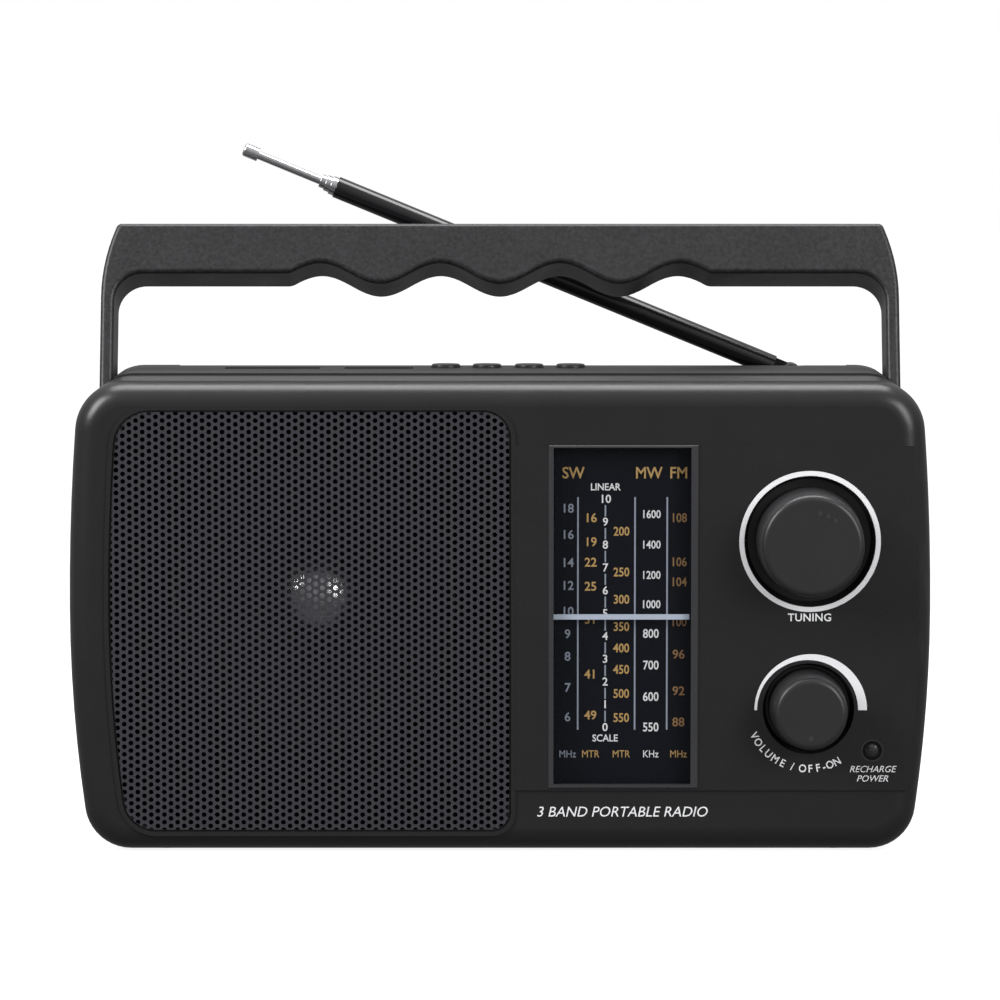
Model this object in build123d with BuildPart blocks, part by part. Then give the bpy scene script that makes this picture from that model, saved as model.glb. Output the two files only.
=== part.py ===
"""Portable three-band shortwave receiver: casing, carrying handle, whip antenna, speaker, dial drive.

Frame: millimetres, +Z up, the front faces -Y, +X is the user's right. The origin is on the table,
under the middle of the receiver. Every sub-part is written as its own STEP file in parts/.
"""

from build123d import *
import math
import os

os.makedirs("parts", exist_ok=True)

# ---------------------------------------------------------------- driving dimensions
BODY_WIDTH = 236.0
BODY_DEPTH = 80.0
KNOB_PROUD = 15.0  # how far the tuning knob stands out of the front face
FOOT_PROUD = 0.4
FRONT_SHELL_DEPTH = 32.0
SHELL_WALL = 2.4
FRONT_TOP_Z = 129.2
REAR_TOP_Z = 129.8
WAIST_Z = 67.0  # height of the widest point
UPPER_SIDE_R = 660.0
LOWER_SIDE_R = 400.0
TOP_CORNER_R = 14.0
BOTTOM_CORNER_R = 12.8
FRONT_EDGE_R = 6.5
REAR_STEP_IN = 1.0  # the rear shell is this much narrower on each side

PANEL_LEFT, PANEL_BOTTOM, PANEL_TOP, PANEL_PROUD = 4.2, 17.3, 111.9, 0.6
GRILLE_SIDE_GAP, GRILLE_TOP, GRILLE_BOTTOM = 9.9, 122.7, 4.65
GRILLE_CORNERS = {"upper_left": 11.0, "lower_left": 10.5, "upper_right": 8.8, "lower_right": 6.5}
GRILLE_BEAD, GRILLE_GAP, GRILLE_SHEET = 1.2, 0.5, 0.8

DIAL_LEFT, DIAL_RIGHT, DIAL_BOTTOM, DIAL_TOP = 13.2, 54.1, 17.9, 112.0
TUNING_X, TUNING_Z, TUNING_DISH_R, TUNING_FACE_R = 84.5, 85.7, 17.8, 13.8
VOLUME_X, VOLUME_Z, VOLUME_DISH_R, VOLUME_FACE_R = 84.3, 39.8, 12.5, 9.8
LED_X, LED_Z, LED_R = 101.8, 28.3, 1.8
SPEAKER_X, SPEAKER_Z, SPEAKER_R, SPEAKER_OPENING_R = -50.5, 68.3, 46.0, 38.0

HANDLE_PIVOT_Z = 110.0
HANDLE_DEPTH = 18.0
HANDLE_LEAN = 15.7  # degrees back from upright
HANDLE_INNER_X = 108.3
HANDLE_ARM = 3.8

ANTENNA_X, ANTENNA_Z, ANTENNA_TILT = 83.5, 127.3, 22.3
RUNNING = 0.1  # radial clearance of a turning or sliding fit

# ---------------------------------------------------------------- derived places
HALF_WIDTH = BODY_WIDTH / 2
FRONT_Y = KNOB_PROUD - (BODY_DEPTH + KNOB_PROUD) / 2
REAR_Y = FRONT_Y + BODY_DEPTH
SEAM_Y = FRONT_Y + FRONT_SHELL_DEPTH
BASE_Z = FOOT_PROUD
PANEL_Y = FRONT_Y - PANEL_PROUD
INNER_FRONT_Y = FRONT_Y + SHELL_WALL
HANDLE_PIVOT_Y = SEAM_Y + 1.0 + HANDLE_DEPTH / 2
ANTENNA_Y = REAR_Y - 4.5
CHANNEL_X = HANDLE_INNER_X - 0.5  # half-width of the rear shell between the handle's arms
CHANNEL_FLOOR_Z = HANDLE_PIVOT_Z - HANDLE_DEPTH / 2 - 1.5


def facing(y):
    """Plane across the receiver at depth y: its x is +X, its y is +Z, its normal points forward."""
    return Plane.XZ.offset(-y)


def save(builder, label):
    builder.part.label = label
    export_step(builder.part, f"parts/{label}.step")


def side_x(z, inset=0.0):
    """Half-width of the casing at height z: two large arcs that meet at the waist."""
    radius = UPPER_SIDE_R if z > WAIST_Z else LOWER_SIDE_R
    return HALF_WIDTH - inset - radius + math.sqrt(radius**2 - (z - WAIST_Z) ** 2)


def casing_face(y, top_z, inset=0.0):
    """The casing's rounded outline, moved inwards by inset."""
    upper_mid, lower_mid = (top_z + WAIST_Z) / 2, (BASE_Z + WAIST_Z) / 2
    top, bottom = side_x(top_z), side_x(BASE_Z)
    with BuildSketch(facing(y)) as face:
        with BuildLine():
            Line((-bottom, BASE_Z), (bottom, BASE_Z))
            ThreePointArc((bottom, BASE_Z), (side_x(lower_mid), lower_mid), (HALF_WIDTH, WAIST_Z))
            ThreePointArc((HALF_WIDTH, WAIST_Z), (side_x(upper_mid), upper_mid), (top, top_z))
            Line((top, top_z), (-top, top_z))
            ThreePointArc((-top, top_z), (-side_x(upper_mid), upper_mid), (-HALF_WIDTH, WAIST_Z))
            ThreePointArc((-HALF_WIDTH, WAIST_Z), (-side_x(lower_mid), lower_mid), (-bottom, BASE_Z))
        make_face()
        fillet(face.vertices().group_by(Axis.Y)[0], BOTTOM_CORNER_R)
        fillet(face.vertices().group_by(Axis.Y)[-1], TOP_CORNER_R)
        if inset:
            offset(amount=-inset)
    return face.sketch


def grille_face(y, inset=0.0):
    """The grille's outline: its left side runs parallel to the casing, its right side is upright."""
    upper_mid, lower_mid = (GRILLE_TOP + WAIST_Z) / 2, (GRILLE_BOTTOM + WAIST_Z) / 2

    def left(z):
        return -side_x(z, GRILLE_SIDE_GAP), z

    with BuildSketch(facing(y)) as face:
        with BuildLine():
            Polyline(left(GRILLE_BOTTOM), (PANEL_LEFT, GRILLE_BOTTOM), (PANEL_LEFT, GRILLE_TOP), left(GRILLE_TOP))
            ThreePointArc(left(GRILLE_TOP), left(upper_mid), left(WAIST_Z))
            ThreePointArc(left(WAIST_Z), left(lower_mid), left(GRILLE_BOTTOM))
        make_face()
        for corner, radius in GRILLE_CORNERS.items():
            level = face.vertices().group_by(Axis.Y)[0 if "lower" in corner else -1]
            fillet(level.sort_by(Axis.X)[0 if "left" in corner else -1], radius)
        if inset:
            offset(amount=-inset)
    return face.sketch


# ---------------------------------------------------------------- front shell
DISH_DEPTH = 4.0
SPINDLE_HOLE_R = 3.4
BOSS_R, SCREW_R = 3.6, 1.4
CASE_SCREWS = [(-98, 14), (98, 14), (-94, 116), (60, 118.5)]
BEAD_PROUD = 0.5

with BuildPart() as front_shell:
    extrude(casing_face(FRONT_Y, FRONT_TOP_Z), amount=-FRONT_SHELL_DEPTH)
    fillet(front_shell.faces().sort_by(Axis.Y)[0].edges(), FRONT_EDGE_R)
    offset(amount=-SHELL_WALL, openings=front_shell.faces().sort_by(Axis.Y)[-1])
    # the raised control panel on the right half
    with BuildSketch(facing(PANEL_Y)) as panel:
        add(casing_face(0, FRONT_TOP_Z, 3.6))
        with Locations((PANEL_LEFT, PANEL_BOTTOM)):
            Rectangle(BODY_WIDTH, PANEL_TOP - PANEL_BOTTOM, align=Align.MIN, mode=Mode.INTERSECT)
    extrude(amount=-(PANEL_PROUD + 1.6))
    # the bead round the grille, and the step that the grille's sheet lies in
    extrude(grille_face(FRONT_Y), amount=BEAD_PROUD)
    sheet_seat = grille_face(FRONT_Y - BEAD_PROUD, GRILLE_BEAD)
    extrude(sheet_seat, amount=-(BEAD_PROUD + GRILLE_SHEET), mode=Mode.SUBTRACT)
    # the speaker's opening, the dial's opening and the lamp's hole
    with BuildSketch(facing(PANEL_Y - 1)):
        with Locations((SPEAKER_X, SPEAKER_Z)):
            Circle(SPEAKER_OPENING_R)
        with Locations((DIAL_LEFT, DIAL_BOTTOM)):
            Rectangle(DIAL_RIGHT - DIAL_LEFT, DIAL_TOP - DIAL_BOTTOM, align=Align.MIN)
        with Locations((LED_X, LED_Z)):
            Circle(LED_R)
    extrude(amount=-10, mode=Mode.SUBTRACT)
    # the dished recesses that the two knobs turn in, with a wall behind each
    for x, z, dish_r in ((TUNING_X, TUNING_Z, TUNING_DISH_R), (VOLUME_X, VOLUME_Z, VOLUME_DISH_R)):
        with BuildSketch(facing(INNER_FRONT_Y - 0.5)):
            with Locations((x, z)):
                Circle(dish_r + 1.5)
        extrude(amount=-(DISH_DEPTH + 0.5))
        with BuildSketch(facing(PANEL_Y)):
            with Locations((x, z)):
                Circle(dish_r)
        extrude(amount=-(DISH_DEPTH + PANEL_PROUD), taper=12, mode=Mode.SUBTRACT)
        with BuildSketch(facing(PANEL_Y)):
            with Locations((x, z)):
                Circle(SPINDLE_HOLE_R)
        extrude(amount=-20, mode=Mode.SUBTRACT)
    # the collar that holds the lamp's lens
    with BuildSketch(facing(INNER_FRONT_Y)):
        with Locations((LED_X, LED_Z)):
            Circle(3.2)
            Circle(LED_R, mode=Mode.SUBTRACT)
    extrude(amount=-2)
    # posts for the casing screws
    with BuildSketch(facing(INNER_FRONT_Y - 0.5)):
        with Locations(*CASE_SCREWS):
            Circle(BOSS_R)
    extrude(amount=-(FRONT_SHELL_DEPTH - SHELL_WALL - 1.5))
    with BuildSketch(facing(SEAM_Y)):
        with Locations(*CASE_SCREWS):
            Circle(SCREW_R)
    extrude(amount=14, mode=Mode.SUBTRACT)
    # shallow seats for the two front feet
    with BuildSketch(Plane.XY.offset(BASE_Z)):
        with Locations((-92, FRONT_Y + 14), (92, FRONT_Y + 14)):
            Circle(6.1)
    extrude(amount=0.6, mode=Mode.SUBTRACT)
save(front_shell, "front_shell")

# ---------------------------------------------------------------- rear shell
REBATE_FLOOR_Z = ANTENNA_Z - 3.7
REBATE_LEFT, REBATE_RIGHT = -92.0, 99.5
REBATE_Y = ANTENNA_Y - 3.6
POCKET_R = 5.3
POCKET_FLOOR_Z = 116.0
DOOR_LEFT, DOOR_RIGHT, DOOR_BOTTOM, DOOR_TOP = -66.0, 66.0, 7.0, 44.0
DOOR_THICK = 2.2
CARD_X, USB_X, SLOT_Y, BUTTON_Y = -64.5, -34.4, SEAM_Y + 26.0, SEAM_Y + 30.0
CARD_W, CARD_T, USB_W, USB_T = 25.6, 2.6, 12.6, 5.0
TROUGH_DEPTH, TROUGH_D, CARD_TROUGH_W, USB_TROUGH_W = 0.8, 8.0, 27.0, 19.5
BUTTON_X = [-15.4, -3.7, 8.3, 20.1]
BUTTON_R = 4.1
SWITCH_Y, SWITCH_Z, SWITCH_TRAVEL = SEAM_Y + 9.0, 64.0, 4.0
EAR_JACK_Y, EAR_JACK_Z, EAR_JACK_R = SEAM_Y + 14.0, 62.0, 1.8
DC_JACK_Y, DC_JACK_Z, DC_JACK_R = SEAM_Y + 14.0, 44.0, 2.8
INLET_X, INLET_Z = 92.0, 30.0
REAR_DEPTH = REAR_Y - SEAM_Y
REAR_OUTLINE_TOP = REAR_TOP_Z + REAR_STEP_IN

with BuildPart() as rear_shell:
    extrude(casing_face(SEAM_Y, REAR_OUTLINE_TOP, REAR_STEP_IN), amount=-REAR_DEPTH)
    fillet(rear_shell.faces().sort_by(Axis.Y)[-1].edges(), 5.0)
    # the sides step in above the pivots, so that the handle's arms fold back
    with BuildSketch(facing(SEAM_Y - 1)):
        for side in (-1, 1):
            with Locations((side * (CHANNEL_X + 10), CHANNEL_FLOOR_Z + 20)):
                Rectangle(20, 40)
    extrude(amount=-(REAR_DEPTH + 2), mode=Mode.SUBTRACT)
    with BuildSketch(facing(SEAM_Y)) as hollow:
        add(casing_face(0, REAR_OUTLINE_TOP, REAR_STEP_IN + SHELL_WALL))
        for side in (-1, 1):
            with Locations((side * (CHANNEL_X - SHELL_WALL + 10), CHANNEL_FLOOR_Z - SHELL_WALL + 20)):
                Rectangle(20, 40, mode=Mode.SUBTRACT)
    extrude(amount=-(REAR_DEPTH - SHELL_WALL), mode=Mode.SUBTRACT)
    # the antenna's rebate along the rear top edge, with its own floor, wall and pocket
    length, middle = REBATE_RIGHT - REBATE_LEFT, (REBATE_RIGHT + REBATE_LEFT) / 2
    with Locations((middle, (REBATE_Y + REAR_Y) / 2 - 1, (REBATE_FLOOR_Z + REAR_TOP_Z) / 2 - 1.5)):
        Box(length + 4, REAR_Y - REBATE_Y + 2, REAR_TOP_Z - REBATE_FLOOR_Z + 1)
    with Locations((ANTENNA_X, ANTENNA_Y - 1.5, (POCKET_FLOOR_Z + REBATE_FLOOR_Z) / 2 - 1)):
        Box(2 * POCKET_R + 4, 12, REBATE_FLOOR_Z - POCKET_FLOOR_Z + 2)
    with Locations((middle, REBATE_Y, REBATE_FLOOR_Z)):
        Box(length, 20, 20, align=(Align.CENTER, Align.MIN, Align.MIN), mode=Mode.SUBTRACT)
    with Locations((ANTENNA_X, ANTENNA_Y, POCKET_FLOOR_Z)):
        Cylinder(POCKET_R, 30, align=(Align.CENTER, Align.CENTER, Align.MIN), mode=Mode.SUBTRACT)
        Cylinder(1.5, 30, mode=Mode.SUBTRACT)
    # shallow troughs round the card slot and the USB socket
    with BuildSketch(Plane.XY.offset(REAR_TOP_Z + 1)):
        for x, width in ((CARD_X, CARD_TROUGH_W), (USB_X, USB_TROUGH_W)):
            with Locations((x, SLOT_Y)):
                RectangleRounded(width, TROUGH_D, 0.8)
    extrude(amount=-(1 + TROUGH_DEPTH), mode=Mode.SUBTRACT)
    # openings in the top: card slot, USB socket, four buttons
    with BuildSketch(Plane.XY.offset(REAR_TOP_Z + 1)):
        with Locations((CARD_X, SLOT_Y)):
            Rectangle(CARD_W, CARD_T)
        with Locations((USB_X, SLOT_Y)):
            Rectangle(USB_W, USB_T)
        with Locations(*[(x, BUTTON_Y) for x in BUTTON_X]):
            Circle(BUTTON_R + 0.3)
    extrude(amount=-6, mode=Mode.SUBTRACT)
    # openings in the sides: band switch on the right, jacks on the left
    with Locations((HALF_WIDTH, SWITCH_Y, SWITCH_Z)):
        Box(20, 4.6, 2 * SWITCH_TRAVEL + 6.6, mode=Mode.SUBTRACT)
    for y, z, r in ((EAR_JACK_Y, EAR_JACK_Z, EAR_JACK_R + 1.2), (DC_JACK_Y, DC_JACK_Z, DC_JACK_R + 1.2)):
        with Locations((-HALF_WIDTH, y, z)):
            Cylinder(r, 20, rotation=(0, 90, 0), mode=Mode.SUBTRACT)
    # openings in the back: battery door, mains inlet
    with BuildSketch(facing(REAR_Y + 1)):
        with Locations((DOOR_LEFT, DOOR_BOTTOM)):
            Rectangle(DOOR_RIGHT - DOOR_LEFT, DOOR_TOP - DOOR_BOTTOM, align=Align.MIN)
        with Locations((INLET_X, INLET_Z)):
            RectangleRounded(20.4, 11.4, 3)
    extrude(amount=6, mode=Mode.SUBTRACT)
    # bosses for the handle's pivot screws, and sleeves for the casing screws
    for side in (-1, 1):
        with Locations((side * (CHANNEL_X - 4), HANDLE_PIVOT_Y, HANDLE_PIVOT_Z)):
            Cylinder(6, 8, rotation=(0, 90, 0))
        with Locations((side * CHANNEL_X, HANDLE_PIVOT_Y, HANDLE_PIVOT_Z)):
            Cylinder(1.7, 30, rotation=(0, 90, 0), mode=Mode.SUBTRACT)
    with BuildSketch(facing(SEAM_Y + 0.1)):
        with Locations(*CASE_SCREWS):
            Circle(BOSS_R)
    extrude(amount=-(REAR_DEPTH - SHELL_WALL))
    with BuildSketch(facing(SEAM_Y)):
        with Locations(*CASE_SCREWS):
            Circle(SCREW_R + 0.3)
    extrude(amount=-REAR_DEPTH, mode=Mode.SUBTRACT)
    with BuildSketch(facing(REAR_Y)):
        with Locations(*CASE_SCREWS):
            Circle(2.9)
    extrude(amount=20, mode=Mode.SUBTRACT)
save(rear_shell, "rear_shell")


# ---------------------------------------------------------------- helpers for turned and boxed pieces
def turning_axis(x, z):
    """Axis along the receiver's depth."""
    return Axis((x, 0, z), (0, 1, 0))


def turning_profile(x, z, points):
    """Half-section of a piece turned about turning_axis, as (radius, y) points."""
    with BuildSketch(Plane(origin=(x, 0, z), x_dir=(1, 0, 0), z_dir=(0, 0, 1))) as profile:
        with BuildLine():
            Polyline(*points, close=True)
        make_face()
    return profile.sketch


def block(x, y, z, mode=Mode.ADD):
    """Box between the (low, high) pairs x, y and z, for use inside a BuildPart block."""
    with Locations(((x[0] + x[1]) / 2, (y[0] + y[1]) / 2, (z[0] + z[1]) / 2)):
        Box(x[1] - x[0], y[1] - y[0], z[1] - z[0], mode=mode)


# ---------------------------------------------------------------- grille and dial
with BuildPart() as speaker_grille:
    extrude(grille_face(FRONT_Y, GRILLE_BEAD + GRILLE_GAP), amount=-GRILLE_SHEET)
save(speaker_grille, "speaker_grille")

BEZEL_FRONT_Y = PANEL_Y - 0.4
WINDOW_LEFT, WINDOW_RIGHT = DIAL_LEFT + 1.4, DIAL_RIGHT - 2.0
WINDOW_BOTTOM, WINDOW_TOP = DIAL_BOTTOM + 1.1, DIAL_TOP - 0.7
with BuildPart() as dial_bezel:
    block((DIAL_LEFT, DIAL_RIGHT), (BEZEL_FRONT_Y, FRONT_Y + 0.9), (DIAL_BOTTOM, DIAL_TOP))
    fillet(dial_bezel.faces().sort_by(Axis.Y)[0].edges(), 0.35)
    window = (WINDOW_LEFT, WINDOW_RIGHT), (BEZEL_FRONT_Y - 1, FRONT_Y + 2), (WINDOW_BOTTOM, WINDOW_TOP)
    block(*window, Mode.SUBTRACT)
save(dial_bezel, "dial_bezel")

with BuildPart() as dial_window:
    block((WINDOW_LEFT, WINDOW_RIGHT), (PANEL_Y + 0.1, FRONT_Y + 0.7), (WINDOW_BOTTOM, WINDOW_TOP))
save(dial_window, "dial_window")

PLATE_LEFT, PLATE_RIGHT, PLATE_BOTTOM, PLATE_TOP = 14.9, 57.0, 14.0, 115.0
PLATE_Y = INNER_FRONT_Y + 1.2
with BuildPart() as dial_plate:
    block((PLATE_LEFT, PLATE_RIGHT), (PLATE_Y, PLATE_Y + 1.5), (PLATE_BOTTOM, PLATE_TOP))
    # a ledge on three sides spaces the plate from the front wall
    block((DIAL_RIGHT + 0.3, PLATE_RIGHT), (INNER_FRONT_Y, PLATE_Y), (PLATE_BOTTOM, PLATE_TOP))
    for low in (PLATE_BOTTOM, DIAL_TOP + 0.3):
        block((PLATE_LEFT, PLATE_RIGHT), (INNER_FRONT_Y, PLATE_Y), (low, low + 2.7))
save(dial_plate, "dial_plate")

# ---------------------------------------------------------------- dial drive
POINTER_Z = 64.8
POINTER_THICK = 1.4
CORD_Y, CORD_X, CORD_T = -19.0, 8.0, 0.7
PULLEY_R, DRUM_R, SPINDLE_R = 4.0, 19.7, 3.5
CORD_GAP = 0.05
PULLEY_X = CORD_X + PULLEY_R + CORD_GAP + CORD_T / 2
PULLEY_HIGH_Z, PULLEY_LOW_Z = 110.0, 20.0
DRUM_X, DRUM_Z = 40.0, 50.0
RAIL_X, RAIL_Y, RAIL_R = 11.0, -23.0, 1.0
RAIL_BOTTOM, RAIL_TOP = 9.0, 121.0
CHASSIS_Y = -15.5
CHASSIS_T = 1.2
PULLEY_WIDTH = 2.6
STUD_R = 1.5

with BuildPart() as pointer:
    bar_z = (POINTER_Z - POINTER_THICK / 2, POINTER_Z + POINTER_THICK / 2)
    block((13.6, 51.7), (-31.2, -30.4), bar_z)
    block((13.6, 14.5), (-31.2, -24.0), bar_z)
    block((6.0, 14.5), (-25.5, -20.2), (POINTER_Z - 4, POINTER_Z + 4))
    with Locations((RAIL_X, RAIL_Y, POINTER_Z)):
        Cylinder(RAIL_R + 0.08, 20, mode=Mode.SUBTRACT)
save(pointer, "pointer")

with BuildPart() as pointer_rail:
    with Locations((RAIL_X, RAIL_Y, (RAIL_BOTTOM + RAIL_TOP) / 2)):
        Cylinder(RAIL_R, RAIL_TOP - RAIL_BOTTOM)
save(pointer_rail, "pointer_rail")

with BuildPart() as chassis_plate:
    block((5.0, 55.0), (CHASSIS_Y, CHASSIS_Y + CHASSIS_T), (RAIL_BOTTOM, RAIL_TOP))
    for low in (RAIL_BOTTOM, RAIL_TOP - 1.5):
        block((8.8, 13.2), (RAIL_Y - 2, CHASSIS_Y), (low, low + 1.5))
    with Locations((RAIL_X, RAIL_Y, 65)):
        Cylinder(RAIL_R, 150, mode=Mode.SUBTRACT)
    with BuildSketch(facing(CHASSIS_Y - 1)):
        with Locations((DRUM_X, DRUM_Z)):
            Circle(3.3)
    extrude(amount=-5, mode=Mode.SUBTRACT)
    # studs that the pulleys turn on
    with BuildSketch(facing(CHASSIS_Y)):
        with Locations((PULLEY_X, PULLEY_HIGH_Z), (PULLEY_X, PULLEY_LOW_Z)):
            Circle(STUD_R)
    extrude(amount=6)
save(chassis_plate, "chassis_plate")


def grooved_profile(x, z, groove_r, flange, bore_r):
    """Half-section of a cord wheel: a groove between two flanges, centred on the cord's plane."""
    half, cord = PULLEY_WIDTH / 2, CORD_T / 2 + 0.15
    low, high = CORD_Y - half, CORD_Y + half
    rim = groove_r + flange
    groove_low, groove_high = CORD_Y - cord, CORD_Y + cord
    groove = [(rim, groove_low), (groove_r, groove_low), (groove_r, groove_high), (rim, groove_high)]
    return turning_profile(x, z, [(bore_r, low), (rim, low), *groove, (rim, high), (bore_r, high)])


for label, height in (("pulley_upper", PULLEY_HIGH_Z), ("pulley_lower", PULLEY_LOW_Z)):
    with BuildPart() as pulley:
        profile = grooved_profile(PULLEY_X, height, PULLEY_R, 1.2, STUD_R + RUNNING / 2)
        revolve(profile, axis=turning_axis(PULLEY_X, height))
    save(pulley, label)

with BuildPart() as tuning_drum:
    revolve(grooved_profile(DRUM_X, DRUM_Z, DRUM_R, 1.2, 2.0), axis=turning_axis(DRUM_X, DRUM_Z))
    # lightening holes and the grub-screw hub
    with BuildSketch(facing(CORD_Y - 3)):
        with Locations((DRUM_X, DRUM_Z)):
            with PolarLocations(11.5, 5):
                Circle(4.2)
    extrude(amount=-6, mode=Mode.SUBTRACT)
    hub = [(0, -22.5), (5, -22.5), (5, -17.7), (3, -17.7), (3, -9.5), (0, -9.5)]
    revolve(turning_profile(DRUM_X, DRUM_Z, hub), axis=turning_axis(DRUM_X, DRUM_Z))
save(tuning_drum, "tuning_drum")

CAPACITOR_Y = CHASSIS_Y + CHASSIS_T
PCB_Y, PCB_T = -4.0, 1.6
with BuildPart() as tuning_capacitor:
    block((DRUM_X - 12, DRUM_X + 12), (CAPACITOR_Y, PCB_Y), (DRUM_Z - 12, DRUM_Z + 12))
    with BuildSketch(facing(CAPACITOR_Y)):
        with Locations((DRUM_X, DRUM_Z)):
            Circle(3 + RUNNING)
    extrude(amount=-5.2, mode=Mode.SUBTRACT)
save(tuning_capacitor, "tuning_capacitor")


def cord_hull(gap):
    """Convex loop that runs round the two pulleys, the drum and the spindle, gap outside their grooves."""
    wheels = [(PULLEY_X, PULLEY_HIGH_Z, PULLEY_R), (PULLEY_X, PULLEY_LOW_Z, PULLEY_R)]
    wheels += [(DRUM_X, DRUM_Z, DRUM_R), (TUNING_X, TUNING_Z, SPINDLE_R)]
    with BuildSketch(facing(CORD_Y - CORD_T / 2)) as hull:
        for x, z, r in wheels:
            with Locations((x, z)):
                Circle(r + gap)
        make_hull()
    return hull.sketch


with BuildPart() as dial_cord:
    extrude(cord_hull(CORD_GAP + CORD_T), amount=-CORD_T)
    extrude(cord_hull(CORD_GAP), amount=-CORD_T, mode=Mode.SUBTRACT)
save(dial_cord, "dial_cord")

# ---------------------------------------------------------------- knobs
TUNING_FRONT_Y = FRONT_Y - KNOB_PROUD
VOLUME_FRONT_Y = FRONT_Y - 13.0
KNOB_BACK_Y = FRONT_Y + DISH_DEPTH - 0.8


def knob(x, z, face_r, front_y):
    """Slightly tapered knob with a rounded rim, grip flutes and a blind hole for its spindle."""
    with BuildPart() as body:
        base_r = face_r + 1.0
        outline = [(0, KNOB_BACK_Y), (base_r, KNOB_BACK_Y), (face_r, front_y), (0, front_y)]
        revolve(turning_profile(x, z, outline), axis=turning_axis(x, z))
        fillet(body.faces().sort_by(Axis.Y)[0].edges(), 1.6)
        # grip flutes round the side
        with BuildSketch(facing(front_y + 2.6)):
            with Locations((x, z)):
                with PolarLocations(base_r + 0.45, 36):
                    Circle(0.6)
        extrude(amount=-(KNOB_BACK_Y - front_y), mode=Mode.SUBTRACT)
        # blind hole for the spindle
        with BuildSketch(facing(KNOB_BACK_Y)):
            with Locations((x, z)):
                Circle(3.0)
        extrude(amount=KNOB_BACK_Y - front_y - 3, mode=Mode.SUBTRACT)
    return body


tuning_knob = knob(TUNING_X, TUNING_Z, TUNING_FACE_R, TUNING_FRONT_Y)
save(tuning_knob, "tuning_knob")
volume_knob = knob(VOLUME_X, VOLUME_Z, VOLUME_FACE_R, VOLUME_FRONT_Y)
save(volume_knob, "volume_knob")


def shaft(x, z, low, high):
    revolve(turning_profile(x, z, [(0, low), (SHAFT_R, low), (SHAFT_R, high), (0, high)]), axis=turning_axis(x, z))


SHAFT_R = 3.0
with BuildPart() as tuning_spindle:
    shaft(TUNING_X, TUNING_Z, TUNING_FRONT_Y + 3, CORD_Y - PULLEY_WIDTH / 2)
    wheel = grooved_profile(TUNING_X, TUNING_Z, SPINDLE_R, 1.0, 0)
    revolve(wheel, axis=turning_axis(TUNING_X, TUNING_Z))
save(tuning_spindle, "tuning_spindle")

POT_Y = -14.0
with BuildPart() as volume_spindle:
    shaft(VOLUME_X, VOLUME_Z, VOLUME_FRONT_Y + 3, POT_Y + 4)
save(volume_spindle, "volume_spindle")

with BuildPart() as volume_pot:
    bore_r, bore_end = SHAFT_R + RUNNING, POT_Y + 4.2
    neck = [(bore_r, POT_Y - 4), (4.5, POT_Y - 4), (4.5, POT_Y)]
    can = [(8, POT_Y), (8, PCB_Y), (0, PCB_Y), (0, bore_end), (bore_r, bore_end)]
    revolve(turning_profile(VOLUME_X, VOLUME_Z, neck + can), axis=turning_axis(VOLUME_X, VOLUME_Z))
save(volume_pot, "volume_pot")

with BuildPart() as spindle_bushes:
    for x, z in ((TUNING_X, TUNING_Z), (VOLUME_X, VOLUME_Z)):
        dish_floor = FRONT_Y + DISH_DEPTH
        sleeve = [(bore_r, dish_floor), (SPINDLE_HOLE_R, dish_floor), (SPINDLE_HOLE_R, dish_floor + 2.4)]
        collar = [(4.6, dish_floor + 2.4), (4.6, dish_floor + 4), (bore_r, dish_floor + 4)]
        revolve(turning_profile(x, z, sleeve + collar), axis=turning_axis(x, z))
save(spindle_bushes, "spindle_bushes")

with BuildPart() as led_lens:
    dome = [(0, PANEL_Y - 0.5), (1.0, PANEL_Y - 0.3), (LED_R, PANEL_Y + 0.2)]
    dome += [(LED_R, FRONT_Y + 4), (0, FRONT_Y + 4)]
    revolve(turning_profile(LED_X, LED_Z, dome), axis=turning_axis(LED_X, LED_Z))
save(led_lens, "led_lens")

# ---------------------------------------------------------------- carrying handle
HANDLE_TOP = 61.0  # above the pivot, measured along the arms
GRIP_UNDER, GRIP_WAVE, GRIP_PITCH = 46.6, 3.0, 33.7
HANDLE_OUTER_X = HANDLE_INNER_X + HANDLE_ARM
SHOULDER_V = 50.0
TOP_HALF_WIDTH = 107.6
wave_end = GRIP_PITCH * 1.75
# half-width, height and radius of each rounded corner
BAIL_FILLETS = [(TOP_HALF_WIDTH, HANDLE_TOP, 1.6), (HANDLE_OUTER_X, SHOULDER_V, 52),
                (HANDLE_INNER_X, GRIP_UNDER, 8), (wave_end, GRIP_UNDER, 4)]


def grip_underside(x):
    """Height of the finger-grooved underside: ridges between the fingers, arches over them."""
    return GRIP_UNDER - GRIP_WAVE * math.cos(2 * math.pi * x / GRIP_PITCH)


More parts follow.
